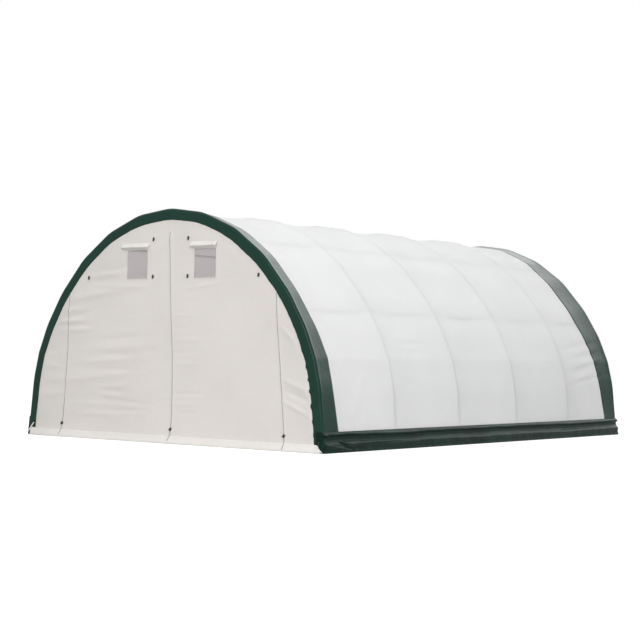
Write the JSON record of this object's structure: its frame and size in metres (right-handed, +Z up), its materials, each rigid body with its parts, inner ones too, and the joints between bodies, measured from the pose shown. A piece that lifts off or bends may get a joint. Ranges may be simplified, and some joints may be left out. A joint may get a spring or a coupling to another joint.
{
  "type": "fabric storage shelter",
  "caption": "Round-topped storage shelter: steel arches and purlins under a white fabric cover with green borders, zipped front doors and mesh windows.",
  "frame": {"origin": "on the ground at the middle of the plan", "axes": "+X to the right along the front wall, +Y from front to rear along the ridge, +Z up"},
  "size_m": [6.1, 9.199, 3.6],
  "materials": {
    "galvanised_steel": "dull zinc coating",
    "roof_fabric": "satin coated weave",
    "green_fabric": "satin coated weave",
    "wall_fabric": "satin coated weave",
    "window_mesh": "fine open mesh",
    "zip_tape": "matt woven tape",
    "toggle_plastic": "moulded matt"
  },
  "bodies": {
    "root": {"arch_1": "galvanised_steel", "arch_2": "galvanised_steel", "arch_3": "galvanised_steel", "arch_4": "galvanised_steel", "arch_5": "galvanised_steel", "arch_6": "galvanised_steel", "ridge_purlin": "galvanised_steel", "left_upper_purlin": "galvanised_steel", "left_lower_purlin": "galvanised_steel", "right_upper_purlin": "galvanised_steel", "right_lower_purlin": "galvanised_steel", "left_cover_rail": "galvanised_steel", "right_cover_rail": "galvanised_steel", "left_foot_plates": "galvanised_steel", "right_foot_plates": "galvanised_steel", "roof_cover": "roof_fabric", "front_roof_band": "green_fabric", "rear_roof_band": "green_fabric", "front_trim": "green_fabric", "rear_trim": "green_fabric", "left_skirt": "green_fabric", "right_skirt": "green_fabric", "left_side_panel": "wall_fabric", "right_side_panel": "wall_fabric", "left_door_panel": "wall_fabric", "right_door_panel": "wall_fabric", "front_header": "wall_fabric", "rear_wall": "wall_fabric", "front_hem": "wall_fabric", "rear_hem": "wall_fabric", "left_zip": "zip_tape", "middle_zip": "zip_tape", "right_zip": "zip_tape", "left_window_mesh": "window_mesh", "right_window_mesh": "window_mesh", "left_window_awning": "roof_fabric", "right_window_awning": "roof_fabric", "door_toggles": "toggle_plastic"}
  },
  "joints": []
}
